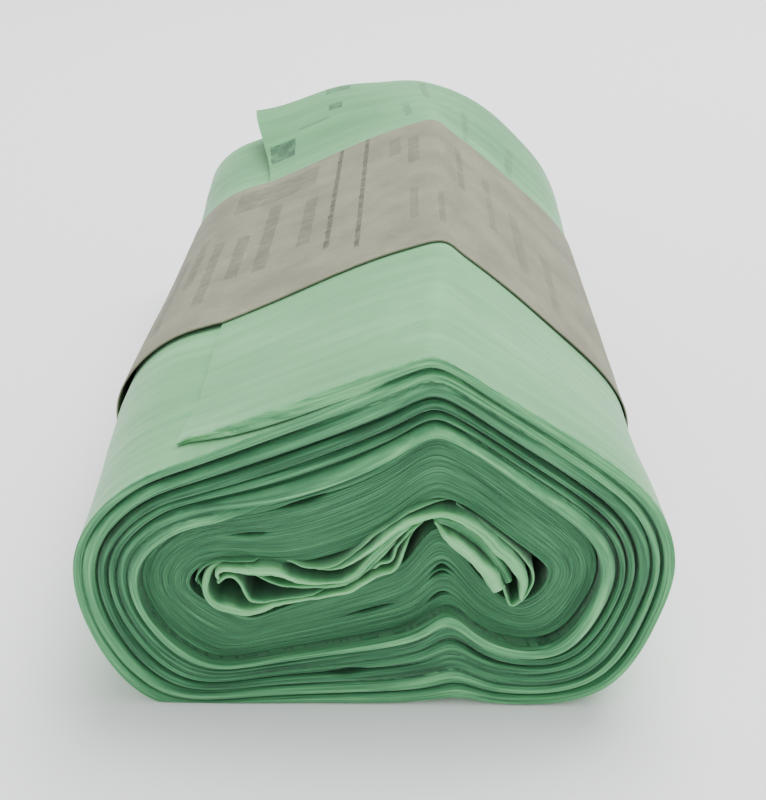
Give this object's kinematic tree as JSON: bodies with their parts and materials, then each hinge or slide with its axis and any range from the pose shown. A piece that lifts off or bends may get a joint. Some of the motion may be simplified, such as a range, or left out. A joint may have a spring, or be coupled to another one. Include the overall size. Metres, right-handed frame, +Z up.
{
  "type": "bin bag roll",
  "caption": "Coreless roll of folded green compostable film bags, squashed flat underneath, with a kraft paper band round its middle.",
  "frame": {"origin": "middle of the flat underside, at the bottom centre of the bounding box", "axes": "+Y along the roll from its near end to its far end, +Z up from the surface it lies on, +X to the right seen from the near end"},
  "size_m": [0.0714, 0.15, 0.0427],
  "materials": {
    "film": "matt translucent compostable film in many layers",
    "kraft_paper": "uncoated grey-brown paper"
  },
  "bodies": {
    "root": {"bag_roll": "film", "paper_band": "kraft_paper"}
  },
  "joints": []
}
